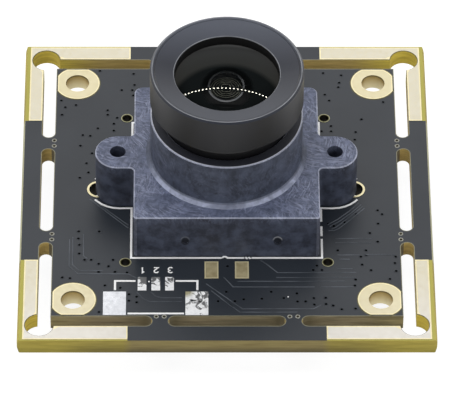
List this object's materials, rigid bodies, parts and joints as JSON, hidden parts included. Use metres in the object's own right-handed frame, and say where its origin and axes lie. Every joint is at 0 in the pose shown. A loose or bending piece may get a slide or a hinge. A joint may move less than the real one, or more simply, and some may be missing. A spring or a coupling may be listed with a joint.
{
  "type": "camera module",
  "caption": "Square circuit board with a slotted break-away rail, a black screwed-on lens holder and a screw-in focusing lens over an image sensor.",
  "frame": {"origin": "centre of the four corner mounting holes, on the circuit board's underside", "axes": "+Z along the optical axis towards the scene, +X to the right and +Y to the back, with the row of bare pads on the board's top face at -Y"},
  "size_m": [0.038, 0.038, 0.0206],
  "materials": {
    "board_laminate": "satin dark grey solder mask on glass-fibre laminate with bare yellow-brown edges",
    "gold_plating": "pale gold plating on copper, satin",
    "solder_tin": "tinned, uneven",
    "holder_plastic": "moulded glass-filled plastic, matt black with fine scuffs",
    "screw_steel": "blackened steel",
    "filter_glass": "coated, clear",
    "sensor_ceramic": "matt ceramic",
    "sensor_silicon": "glossy",
    "cover_glass": "clear",
    "chip_resin": "matt moulded resin",
    "crystal_ceramic": "matt ceramic",
    "crystal_steel": "satin lid",
    "capacitor_ceramic": "fired ceramic",
    "resistor_coating": "glossy black",
    "ferrite": "matt ferrite",
    "socket_nylon": "ivory nylon",
    "anodised_aluminium": "black anodised, fine turned",
    "lens_glass": "coated, clear",
    "blackened_foil": "matt black"
  },
  "bodies": {
    "module": {"circuit_board": "board_laminate", "corner_lands": "gold_plating", "mounting_rings": "gold_plating", "test_hole_rings": "gold_plating", "screw_slot_rings": "gold_plating", "test_pads": "gold_plating", "spare_pin_pads": "solder_tin", "spare_anchor_pads": "solder_tin", "lens_holder": "holder_plastic", "holder_screws": "screw_steel", "filter_glass": "filter_glass", "sensor_package": "sensor_ceramic", "sensor_die": "sensor_silicon", "sensor_glass": "cover_glass", "processor": "chip_resin", "processor_leads": "solder_tin", "flash_memory": "chip_resin", "flash_leads": "solder_tin", "regulators": "chip_resin", "regulator_leads": "solder_tin", "surge_protector": "chip_resin", "surge_protector_leads": "solder_tin", "crystal_base": "crystal_ceramic", "crystal_lid": "crystal_steel", "capacitor_bodies": "capacitor_ceramic", "capacitor_ends": "solder_tin", "resistor_bodies": "resistor_coating", "resistor_ends": "solder_tin", "ferrite_bead_bodies": "ferrite", "ferrite_bead_ends": "solder_tin", "socket_housing": "socket_nylon", "socket_pins": "gold_plating", "socket_anchors": "solder_tin"},
    "lens": {"lens_barrel": "anodised_aluminium", "front_retaining_ring": "anodised_aluminium", "front_element": "lens_glass", "second_element": "lens_glass", "front_spacer": "anodised_aluminium", "third_element": "lens_glass", "aperture_stop": "blackened_foil", "middle_spacer": "anodised_aluminium", "doublet_front": "lens_glass", "doublet_rear": "lens_glass", "rear_spacer": "anodised_aluminium", "rear_retaining_ring": "anodised_aluminium"}
  },
  "joints": [
    {"name": "lens_focus", "type": "hinge", "parent": "module", "child": "lens", "pos_m": [0, 0, 0.0116], "axis": [0, 0, 1], "range_deg": [-1296, 540]}
  ]
}
